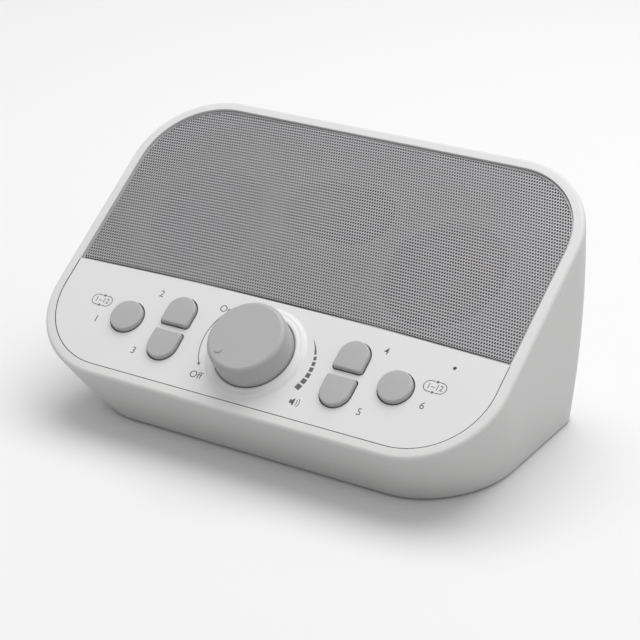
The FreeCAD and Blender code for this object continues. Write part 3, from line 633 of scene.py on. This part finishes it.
class SOUNDMACHINE_OT_panel(bpy.types.Operator):
    """Make the control panel and the marks printed on it"""

    bl_idname = "sound_machine.panel"
    bl_label = "Control Panel"

    def execute(self, context):
        smooth_twin("control_panel", finish_of("panel_moulding"), "root", "panel_plastic")
        knob = context.scene.sound_machine_knob
        x, y = knob.across / MM, knob.up / MM
        marks = bmesh.new()
        # The printed arcs run round points a little beside the knob's axis.
        self.arrow(marks, x - 2.73, y + 1.46)
        self.volume_scale(marks, x + 4.54, y - 1.04)
        self.loudspeaker(marks, 19.3, -46.9)
        for middle in (-63.2, 60.7):
            self.loop(marks, middle, -29.9)
            lettering(marks, "1~12", middle, -29.95, 1.85)
        for words, across, up in (
                ("On", -18.75, -22.0), ("Off", -16.75, -46.9),
                ("2", -43.5, -22.3), ("1", -61.5, -37.0), ("3", -42.3, -44.4),
                ("4", 40.4, -22.3), ("5", 41.4, -44.4), ("6", 59.6, -37.0)):
            lettering(marks, words, across, up, 2.4)
        new_piece("panel_marks", mesh_of(marks, "panel_marks"), finish_of("panel_print"),
                  "root", "panel_plastic")
        # Painted shade at the seams round the panel and the keys.
        self.seam()
        self.collar(x, y)
        return {"FINISHED"}

    def arrow(self, marks, across, up):
        """The arrow from on to off, left of the knob."""
        turn = arc(across, up, 17.27, 151, 214, 28)
        ribbon(marks, turn, 0.28, MARKS_LOW, MARKS_HIGH)
        tip, before = Vector(turn[-1]), Vector(turn[-3])
        along = (tip - before).normalized()
        side = Vector((-along.y, along.x)) * 0.62
        head = [tuple(tip + side), tuple(tip - side), tuple(tip + along * 1.15)]
        plate(marks, head, MARKS_LOW, MARKS_HIGH)

    def volume_scale(self, marks, across, up):
        """The scale right of the knob: a growing wedge, then blocks that grow too."""
        wedge = arc(across, up, 16.0, 42.8, 21.5, 10)
        ribbon(marks, wedge, [0.06 + 0.07 * k for k in range(11)], MARKS_LOW, MARKS_HIGH)
        start, gap = 18.8, 2.0
        for k in range(6):
            sweep = 4.9 + 0.35 * k
            block = arc(across, up, 16.1, start, start - sweep, 4)
            ribbon(marks, block, 0.95 + 0.2 * k, MARKS_LOW, MARKS_HIGH)
            start -= sweep + gap

    def loudspeaker(self, marks, across, up):
        """A plain loudspeaker sign with two waves, under the scale."""
        back, neck, mouth = across - 1.3, across - 0.6, across + 0.4
        body = [(back, up - 0.6), (back, up + 0.6), (neck, up + 0.6),
                (mouth, up + 1.4), (mouth, up - 1.4), (neck, up - 0.6)]
        plate(marks, body, MARKS_LOW, MARKS_HIGH)
        for radius, steps in ((1.35, 8), (2.15, 10)):
            wave = arc(across, up, radius, -42, 42, steps)
            ribbon(marks, wave, 0.24, MARKS_LOW, MARKS_HIGH)

    def loop(self, marks, across, up):
        """Two open half loops, each ending in an arrowhead: a key that steps through sounds."""
        tall = 1.9
        for way in (1, -1):
            line = [(across + way * 0.45, up + way * tall)]
            line += [(across + way * u, up + way * v) for u, v in arc(1.9, 0, tall, 90, -90, 18)]
            line.append((across + way * 0.75, up - way * tall))
            ribbon(marks, line, 0.26, MARKS_LOW, MARKS_HIGH)
            heel = across + way * 0.45
            head = [(heel, up + way * (tall + 0.55)), (heel, up + way * (tall - 0.55)),
                    (across - way * 0.65, up + way * tall)]
            plate(marks, head, MARKS_LOW, MARKS_HIGH)

    def seam(self):
        """Painted shade at the seams between the panel and the rim and round the keys: dark bands
        laid a hair over the panel.
        """
        side, bottom, corner = 79.97, -52.77, 25.87
        top = -17.0
        line = [(side, top)]
        line += arc(side - corner, bottom + corner, corner, 0, -90, 40)
        line += arc(corner - side, bottom + corner, corner, -90, -180, 40)
        line.append((-side, top))
        shape = bmesh.new()
        ribbon(shape, line, 0.34, GAP_SHADE_LOW, GAP_SHADE_HIGH)
        for outline in openings("control_panel", shortest=30, longest=50):
            border(shape, outline, 0.2, GAP_SHADE_LOW, GAP_SHADE_HIGH)
        # The black moulding here paints the shade that falls in the seams.
        new_piece("panel_gap_shade", mesh_of(shape, "panel_gap_shade"), finish_of("black_moulding_and_gap_shade"),
                  "root", "black_plastic")

    def collar(self, across, up):
        """The terraced ring round the knob: a rounded inner lip, a flat and a short outer slope."""
        inner, outer, sunk, lip, flat = 13.45, 17.1, -0.3, 1.22, 0.80
        line = rounded([
            (inner, sunk, 0), (inner, lip, 0.3), (inner + 0.6, lip, 0.25),
            (inner + 0.9, lip - 0.3, 0.3), (outer - 1.35, flat, 0.7),
            (outer - 0.15, sunk + 0.18, 0.25), (outer, sunk, 0), (inner, sunk, 0)], 6)
        shape = bmesh.new()
        lathe(shape, line, across, up, 192)
        bmesh.ops.remove_doubles(shape, verts=shape.verts, dist=1e-7)
        new_piece("knob_collar", mesh_of(shape, "knob_collar", 35), finish_of("panel_moulding"),
                  "root", "panel_plastic")


def perforation_tree():
    """Geometry Nodes that punch a sheet: one six-sided cell with a hole on each point."""
    tree = bpy.data.node_groups.new("perforated_sheet", "GeometryNodeTree")
    tree.is_modifier = True
    face = tree.interface
    face.new_socket("Geometry", in_out="INPUT", socket_type="NodeSocketGeometry")
    for name in ("Pitch", "Row", "Hole", "Hole height", "Thickness", "Sag", "Sag reach"):
        face.new_socket(name, in_out="INPUT", socket_type="NodeSocketFloat")
    face.new_socket("Material", in_out="INPUT", socket_type="NodeSocketMaterial")
    face.new_socket("Geometry", in_out="OUTPUT", socket_type="NodeSocketGeometry")
    links = tree.links

    def node(kind, settings=None, **sockets):
        """Any node: its settings first, then the values and links of its sockets."""
        made = tree.nodes.new(kind)
        for name, value in (settings or {}).items():
            setattr(made, name, value)
        for name, value in sockets.items():
            socket = made.inputs[name.replace("_", " ")]
            if isinstance(value, bpy.types.NodeSocket):
                links.new(value, socket)
            else:
                socket.default_value = value
        return made

    def maths(operation, first, second):
        """The output of a Math node on two values or links."""
        made = tree.nodes.new("ShaderNodeMath")
        made.operation = operation
        for socket, value in zip(made.inputs, (first, second)):
            if isinstance(value, bpy.types.NodeSocket):
                links.new(value, socket)
            else:
                socket.default_value = value
        return made.outputs[0]

    given = tree.nodes.new("NodeGroupInput").outputs
    ring = node("GeometryNodeCurvePrimitiveCircle", Resolution=8, Radius=0.5)
    oval = node("ShaderNodeCombineXYZ", X=given["Hole"], Y=given["Hole height"], Z=1.0)
    hole = node("GeometryNodeTransform", Geometry=ring.outputs["Curve"], Scale=oval.outputs[0])
    rim = node("GeometryNodeCurvePrimitiveCircle", Resolution=6, Radius=1.0)
    turned = node("GeometryNodeTransform", Geometry=rim.outputs["Curve"],
                  Rotation=(0, 0, math.radians(30)))
    stretch = node("ShaderNodeCombineXYZ", X=maths("DIVIDE", given["Pitch"], math.sqrt(3)),
                   Y=maths("DIVIDE", given["Row"], 1.5), Z=1.0)
    outer = node("GeometryNodeTransform", Geometry=turned.outputs["Geometry"],
                 Scale=stretch.outputs[0])
    both = tree.nodes.new("GeometryNodeJoinGeometry")
    links.new(hole.outputs["Geometry"], both.inputs[0])
    links.new(outer.outputs["Geometry"], both.inputs[0])
    cell = node("GeometryNodeFillCurve", Curve=both.outputs[0])
    cells = node("GeometryNodeInstanceOnPoints", Points=given["Geometry"],
                 Instance=cell.outputs["Mesh"])
    real = node("GeometryNodeRealizeInstances", Geometry=cells.outputs["Instances"])
    joined = node("GeometryNodeMergeByDistance", Geometry=real.outputs["Geometry"],
                  Distance=0.02)
    place = node("ShaderNodeSeparateXYZ", Vector=node("GeometryNodeInputPosition").outputs[0])
    share = maths("DIVIDE", place.outputs["X"], given["Sag reach"])
    fall = maths("MULTIPLY", maths("MULTIPLY", share, share), given["Sag"])
    shift = node("ShaderNodeCombineXYZ", X=0.0, Y=maths("MULTIPLY", fall, -1.0), Z=0.0)
    curved = node("GeometryNodeSetPosition", Geometry=joined.outputs["Geometry"],
                  Offset=shift.outputs[0])
    down = node("ShaderNodeCombineXYZ", X=0.0, Y=0.0,
                Z=maths("MULTIPLY", given["Thickness"], -1.0))
    walls = node("GeometryNodeExtrudeMesh", {"mode": "FACES"}, Mesh=curved.outputs["Geometry"],
                 Offset=down.outputs[0], Individual=False)
    back = node("GeometryNodeFlipFaces", Mesh=curved.outputs["Geometry"])
    sheet = tree.nodes.new("GeometryNodeJoinGeometry")
    links.new(walls.outputs["Mesh"], sheet.inputs[0])
    links.new(back.outputs["Mesh"], sheet.inputs[0])
    closed = node("GeometryNodeMergeByDistance", Geometry=sheet.outputs[0], Distance=0.005)
    plain = node("GeometryNodeRealizeInstances", Geometry=closed.outputs["Geometry"])
    painted = node("GeometryNodeSetMaterial", Geometry=plain.outputs["Geometry"],
                   Material=given["Material"])
    result = tree.nodes.new("NodeGroupOutput")
    links.new(painted.outputs["Geometry"], result.inputs["Geometry"])
    return tree


class SOUNDMACHINE_OT_grille(bpy.types.Operator):
    """Punch the grille's sheet with Geometry Nodes and give it its plain edge"""

    bl_idname = "sound_machine.grille"
    bl_label = "Grille"

    def execute(self, context):
        sizes = context.scene.sound_machine_grille
        paint = finish_of("grille_paint_and_hole_shade")
        self.edge(sizes, paint)
        points = self.places(sizes)
        tree = perforation_tree()
        joint = 26.6
        for side, start, end in (("left", -math.inf, -joint), ("middle", -joint, joint),
                                 ("right", joint, math.inf)):
            chosen = [(x, y) for x, y in points if start <= x < end]
            self.sheet(side, chosen, tree, sizes, paint)
        return {"FINISHED"}

    def places(self, sizes):
        """The holes' places before the rows sag, kept where the CAD sheet lies under each cell."""
        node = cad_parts["grille"].data
        tree = BVHTree.FromPolygons([v.co for v in node.vertices],
                                    [list(f.vertices) for f in node.polygons])
        pitch, row, sag = sizes.pitch / MM, sizes.row / MM, sizes.sag / MM
        clear = 0.45
        around = arc(0, 0, clear, 0, 360, 8)[:-1]

        def covered(x, y):
            return tree.ray_cast(on_face(x, y, 3), -OUTWARD, 6 * MM)[0] is not None

        found = []
        for j in range(-30, 70):
            for i in range(-92, 93):
                x = (i + 0.5 * (j % 2)) * pitch
                y = j * row
                real = y - sag * (x / SAG_REACH) ** 2
                if covered(x, real) and all(covered(x + a, real + b) for a, b in around):
                    found.append((x, y))
        return found

    def sheet(self, side, points, tree, sizes, paint):
        """Runs the node tree on these places and keeps the result as one plain mesh."""
        source = bpy.data.meshes.new("hole_places")
        source.from_pydata([(x, y, 0) for x, y in points], [], [])
        holder = bpy.data.objects.new("hole_places", source)
        bpy.context.scene.collection.objects.link(holder)
        modifier = holder.modifiers.new("perforation", "NODES")
        modifier.node_group = tree
        values = {"Pitch": sizes.pitch / MM, "Row": sizes.row / MM, "Hole": sizes.hole / MM,
                  "Hole height": sizes.hole_height / MM, "Thickness": sizes.thickness / MM,
                  "Sag": sizes.sag / MM, "Sag reach": SAG_REACH, "Material": paint}
        for item in tree.interface.items_tree:
            if item.in_out == "INPUT" and item.name in values:
                modifier[item.identifier] = values[item.name]
        bpy.context.view_layer.update()
        done = holder.evaluated_get(bpy.context.evaluated_depsgraph_get())
        mesh = bpy.data.meshes.new_from_object(done)
        bpy.data.objects.remove(holder)
        mesh.transform(FACE @ Matrix.Translation((0, 0, -sizes.drop / MM)))
        shape = bmesh.new()
        shape.from_mesh(mesh)
        bpy.data.meshes.remove(mesh)
        name = side + "_perforated_sheet"
        new_piece(name, mesh_of(shape, name), paint, "root", "grille_metal", "grille")

    def edge(self, sizes, paint):
        """The sheet's plain edge, a narrow band along the CAD sheet's own outline."""
        shape = merged("grille")
        bmesh.ops.dissolve_limit(shape, angle_limit=math.radians(1),
                                 verts=shape.verts, edges=shape.edges)
        shape.normal_update()
        front = [f for f in shape.faces if f.normal.dot(OUTWARD) > 0.99]
        largest = max(front, key=lambda f: f.calc_area())
        outline = [(FACE.inverted() @ v.co).to_2d() for v in largest.verts]
        shape.free()
        band = bmesh.new()
        top = -sizes.drop / MM - 0.02
        border(band, outline, -sizes.edge / MM, top - 0.73, top)
        new_piece("grille_edge", mesh_of(band, "grille_edge"), paint,
                  "root", "grille_metal", "grille")


class SOUNDMACHINE_OT_knob(bpy.types.Operator):
    """Turn the volume knob with its raised dot and dress its shaft and control"""

    bl_idname = "sound_machine.knob"
    bl_label = "Knob"

    def execute(self, context):
        sizes = context.scene.sound_machine_knob
        x, y = sizes.across / MM, sizes.up / MM
        radius, height = sizes.radius / MM, sizes.height / MM
        foot, bore, bore_top, hub, ceiling, wall = 0.3, 3.05, 7.05, 5.0, 6.4, 1.6
        line = rounded([
            (0, bore_top, 0), (bore, bore_top, 0), (bore, foot, 0), (hub, foot, 0.2),
            (hub, ceiling, 0), (radius - wall, ceiling, 0.3), (radius - wall, foot, 0.3),
            (radius, foot, 0.35), (radius, height - 0.4, 1.75), (radius - 1.35, height, 0.12),
            (0, height, 0)], 10)
        shape = bmesh.new()
        lathe(shape, line, x, y, 192)
        angle, reach = math.radians(228), 9.3
        dot = sizes.dot / MM
        bump = rounded([(0, height - 0.2, 0), (dot, height - 0.2, 0), (dot, height + 0.28, 0.1),
                        (0, height + 0.3, 0)], 5)
        lathe(shape, bump, x + reach * math.cos(angle), y + reach * math.sin(angle), 48)
        new_piece("volume_knob", mesh_of(shape, "volume_knob", 32), finish_of("control_moulding"),
                  "knob", "control_plastic", "knob")
        dress("knob_shaft", "plated_steel")
        dress("rotary_control", "plated_steel")
        return {"FINISHED"}


class SOUNDMACHINE_OT_keys(bpy.types.Operator):
    """Make the six keys and dress the board and switches under them"""

    bl_idname = "sound_machine.keys"
    bl_label = "Keys"

    def execute(self, context):
        for node in KEYS:
            smooth_twin(node, finish_of("control_moulding"), node, "control_plastic", 50)
        dress("key_board", "solder_mask")
        dress("key_switches", "black_moulding_and_gap_shade")
        return {"FINISHED"}


class SOUNDMACHINE_OT_light(bpy.types.Operator):
    """Dress the status light and its light pipe"""

    bl_idname = "sound_machine.light"
    bl_label = "Status Light"

    def execute(self, context):
        smooth_twin("light_pipe", finish_of("smoked_lens"), "root", "clear_plastic", 40)
        dress("status_light", "smoked_lens")
        return {"FINISHED"}


class SOUNDMACHINE_OT_speakers(bpy.types.Operator):
    """Dress the baffle, the two speakers and the passive radiator"""

    bl_idname = "sound_machine.speakers"
    bl_label = "Speakers"

    def execute(self, context):
        dress("baffle", "baffle_plastic")
        for side in SPEAKER_SIDES:
            smooth_twin(side + "_speaker_cone", finish_of("felted_paper"), "root", "cone_paper", 35)
            smooth_twin(side + "_dust_cap", finish_of("felted_paper"), "root", "cone_paper", 35)
            smooth_twin(side + "_speaker_basket", finish_of("ferrite"), "root", "steel", 35)
            dress(side + "_speaker_gasket", "foot_rubber")
            dress(side + "_voice_coil", "plated_steel")
            dress(side + "_speaker_magnet", "ferrite")
        dress("radiator_frame", "black_moulding_and_gap_shade")
        smooth_twin("radiator_plate", finish_of("felted_paper"), "root", "cone_paper", 35)
        return {"FINISHED"}


class SOUNDMACHINE_OT_power(bpy.types.Operator):
    """Dress the power inlet and the main board"""

    bl_idname = "sound_machine.power"
    bl_label = "Power Inlet"

    def execute(self, context):
        dress("power_inlet", "black_moulding_and_gap_shade")
        dress("main_board", "solder_mask")
        dress("board_parts", "black_moulding_and_gap_shade")
        return {"FINISHED"}


class SOUNDMACHINE_OT_stage(bpy.types.Operator):
    """Set up the pale floor, the soft studio lamps and the camera"""

    bl_idname = "sound_machine.stage"
    bl_label = "Studio"

    def execute(self, context):
        scene = context.scene
        studio = scene.sound_machine_studio
        scene.view_settings.view_transform = "Standard"
        self.floor()
        self.sky(studio)
        self.lamp("key_lamp", (0.06, 0.29, 1.15), 1.3, studio.key_power)
        self.lamp("fill_lamp", (1.25, -0.15, 0.55), 0.7, studio.fill_power)
        camera = bpy.data.cameras.new("camera")
        camera.lens = studio.lens
        camera.sensor_width = 36
        camera.clip_start = 0.01
        holder = bpy.data.objects.new("camera", camera)
        downward, turned = math.radians(24.13), math.radians(31.66)
        holder.location = (0.32451, -0.51980, 0.30992)
        holder.rotation_euler = (math.pi / 2 - downward, 0, turned)
        scene.collection.objects.link(holder)
        scene.camera = holder
        return {"FINISHED"}

    def lamp(self, name, place, size, power):
        """A soft round lamp that looks at the middle of the object."""
        light = bpy.data.lights.new(name, "AREA")
        light.shape = "DISK"
        light.size = size
        light.energy = power
        holder = bpy.data.objects.new(name, light)
        holder.location = place
        aim = Vector((0, 0, 0.04)) - Vector(place)
        holder.rotation_euler = aim.to_track_quat("-Z", "Y").to_euler()
        bpy.context.scene.collection.objects.link(holder)

    def sky(self, studio):
        """Soft light from all round, and plain white where the camera or a gloss sees it."""
        world = bpy.data.worlds.new("studio")
        bpy.context.scene.world = world
        world.use_nodes = True
        tree = world.node_tree
        tree.nodes.clear()
        links = tree.links
        path = tree.nodes.new("ShaderNodeLightPath")
        shown = path.outputs["Is Camera Ray"]
        for ray in ("Is Transmission Ray", "Is Glossy Ray"):
            either = tree.nodes.new("ShaderNodeMath")
            either.operation = "MAXIMUM"
            links.new(shown, either.inputs[0])
            links.new(path.outputs[ray], either.inputs[1])
            shown = either.outputs[0]
        mix = tree.nodes.new("ShaderNodeMixShader")
        links.new(shown, mix.inputs[0])
        for socket, strength in ((1, studio.sky), (2, studio.backdrop)):
            white = tree.nodes.new("ShaderNodeBackground")
            white.inputs["Color"].default_value = (1, 1, 1, 1)
            white.inputs["Strength"].default_value = strength
            links.new(white.outputs[0], mix.inputs[socket])
        result = tree.nodes.new("ShaderNodeOutputWorld")
        links.new(mix.outputs[0], result.inputs["Surface"])

    def floor(self):
        """A pale round floor, lighter where the camera or a gloss sees it."""
        shape = bmesh.new()
        parts = 64
        inner, outer = [
            [shape.verts.new((x, y, 0)) for x, y in arc(0, 0, radius, 0, 360, parts)[:-1]]
            for radius in (0.3, 4.0)]
        shape.faces.new(inner)
        for k in range(parts):
            n = (k + 1) % parts
            shape.faces.new([inner[k], outer[k], outer[n], inner[n]])
        mesh = mesh_of(shape, "studio_floor")
        floor = bpy.data.objects.new("studio_floor", mesh)
        bpy.context.scene.collection.objects.link(floor)
        graph = Graph("studio_floor")
        seen = graph.node("ShaderNodeLightPath", output="Is Camera Ray")
        for ray in ("Is Glossy Ray", "Is Transmission Ray"):
            seen = seen.maths("MAXIMUM", seen, graph.node("ShaderNodeLightPath", output=ray))
        lit, shown = (0.52, 0.52, 0.52), (0.90, 0.90, 0.90)
        tone = graph.blend(seen, lit, shown)
        graph.surface(Base_Color=tone, Roughness=0.9, Specular_IOR_Level=0.1)
        mesh.materials.append(graph.material)


class SOUNDMACHINE_PT_panel(bpy.types.Panel):
    """Sizes, colours and the steps that make the sound machine"""

    bl_idname = "SOUNDMACHINE_PT_panel"
    bl_label = "Sound Machine"
    bl_space_type = "VIEW_3D"
    bl_region_type = "UI"
    bl_category = "Sound Machine"

    def draw(self, context):
        scene = context.scene
        for title, group in (("Grille", scene.sound_machine_grille),
                             ("Knob", scene.sound_machine_knob),
                             ("Colours", scene.sound_machine_colours),
                             ("Studio", scene.sound_machine_studio)):
            box = self.layout.box()
            box.label(text=title)
            for name in group.__annotations__:
                box.prop(group, name)
        column = self.layout.column(align=True)
        for step in STEPS:
            column.operator(step.bl_idname)


STEPS = (
    SOUNDMACHINE_OT_housing,
    SOUNDMACHINE_OT_panel,
    SOUNDMACHINE_OT_grille,
    SOUNDMACHINE_OT_knob,
    SOUNDMACHINE_OT_keys,
    SOUNDMACHINE_OT_light,
    SOUNDMACHINE_OT_speakers,
    SOUNDMACHINE_OT_power,
    SOUNDMACHINE_OT_stage,
)
GROUPS = {
    "sound_machine_grille": SoundMachineGrille,
    "sound_machine_knob": SoundMachineKnob,
    "sound_machine_colours": SoundMachineColours,
    "sound_machine_studio": SoundMachineStudio,
}


def register():
    """Registers the settings, the steps and the sidebar panel."""
    for group in GROUPS.values():
        bpy.utils.register_class(group)
    for name, group in GROUPS.items():
        setattr(bpy.types.Scene, name, bpy.props.PointerProperty(type=group))
    for step in STEPS:
        bpy.utils.register_class(step)
    bpy.utils.register_class(SOUNDMACHINE_PT_panel)


def unregister():
    """Takes away what register added."""
    bpy.utils.unregister_class(SOUNDMACHINE_PT_panel)
    for step in reversed(STEPS):
        bpy.utils.unregister_class(step)
    for name in GROUPS:
        delattr(bpy.types.Scene, name)
    for group in reversed(list(GROUPS.values())):
        bpy.utils.unregister_class(group)


def main():
    """Runs every step in order."""
    register()
    bpy.ops.sound_machine.housing()
    bpy.ops.sound_machine.panel()
    bpy.ops.sound_machine.grille()
    bpy.ops.sound_machine.knob()
    bpy.ops.sound_machine.keys()
    bpy.ops.sound_machine.light()
    bpy.ops.sound_machine.speakers()
    bpy.ops.sound_machine.power()
    bpy.ops.sound_machine.stage()


if __name__ == "__main__":
    main()
